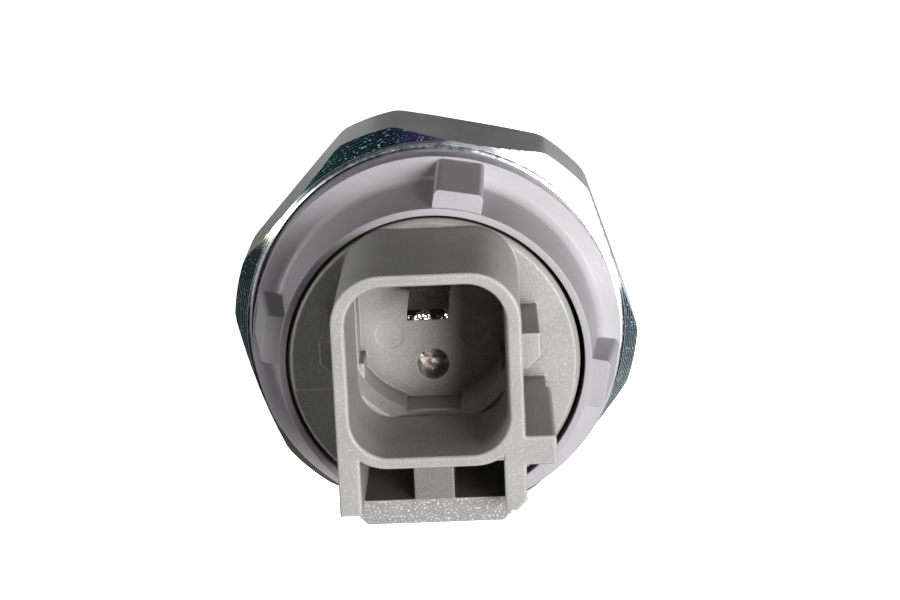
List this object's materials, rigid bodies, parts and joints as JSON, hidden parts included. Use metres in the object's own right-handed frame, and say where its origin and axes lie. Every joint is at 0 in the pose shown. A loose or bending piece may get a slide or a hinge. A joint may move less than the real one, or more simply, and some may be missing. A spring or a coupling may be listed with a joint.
{
  "type": "oil pressure sender",
  "caption": "Oil pressure switch: plated steel hexagon on a threaded stud, with a white collar around a grey moulded one-pin connector that has a latch frame.",
  "frame": {"origin": "centre of the hexagon's seating face, on the sender's axis", "axes": "+Z along the axis from the stud towards the connector's mouth, +Y away from the latch frame, +X towards the side with the guide rib"},
  "size_m": [0.0258, 0.0254, 0.0392],
  "materials": {
    "body_steel": "turned and zinc plated, satin with fine turning lines",
    "washer_aluminium": "plain stamped",
    "seal_rubber": "black moulded rubber",
    "film_polyimide": "amber film",
    "diaphragm_rubber": "rubber on fabric",
    "plate_steel": "stamped and plated",
    "piston_plastic": "moulded",
    "contact_brass": "stamped",
    "spring_steel": "drawn wire",
    "screw_steel": "turned and plated",
    "bush_brass": "turned",
    "terminal_tin": "tin plated",
    "housing_plastic": "warm grey glass-filled moulding, fine spark texture",
    "ring_nylon": "white moulded nylon, slightly translucent"
  },
  "bodies": {
    "sender": {"hex_body": "body_steel", "sealing_washer": "washer_aluminium", "diaphragm_seal": "seal_rubber", "barrier_film": "film_polyimide", "diaphragm": "diaphragm_rubber", "contact_plate": "plate_steel", "contact_spring": "spring_steel", "adjusting_screw": "screw_steel", "threaded_bush": "bush_brass", "terminal_blade": "terminal_tin", "connector_housing": "housing_plastic", "housing_seal": "seal_rubber", "retaining_ring": "ring_nylon"},
    "plunger": {"piston": "piston_plastic", "moving_contact": "contact_brass"}
  },
  "joints": [
    {"name": "plunger_lift", "type": "slide", "parent": "sender", "child": "plunger", "axis": [0, 0, 1], "range_m": [0, 0.00045], "stiffness_N_per_m": 1000, "deforming": ["contact_spring"]}
  ]
}
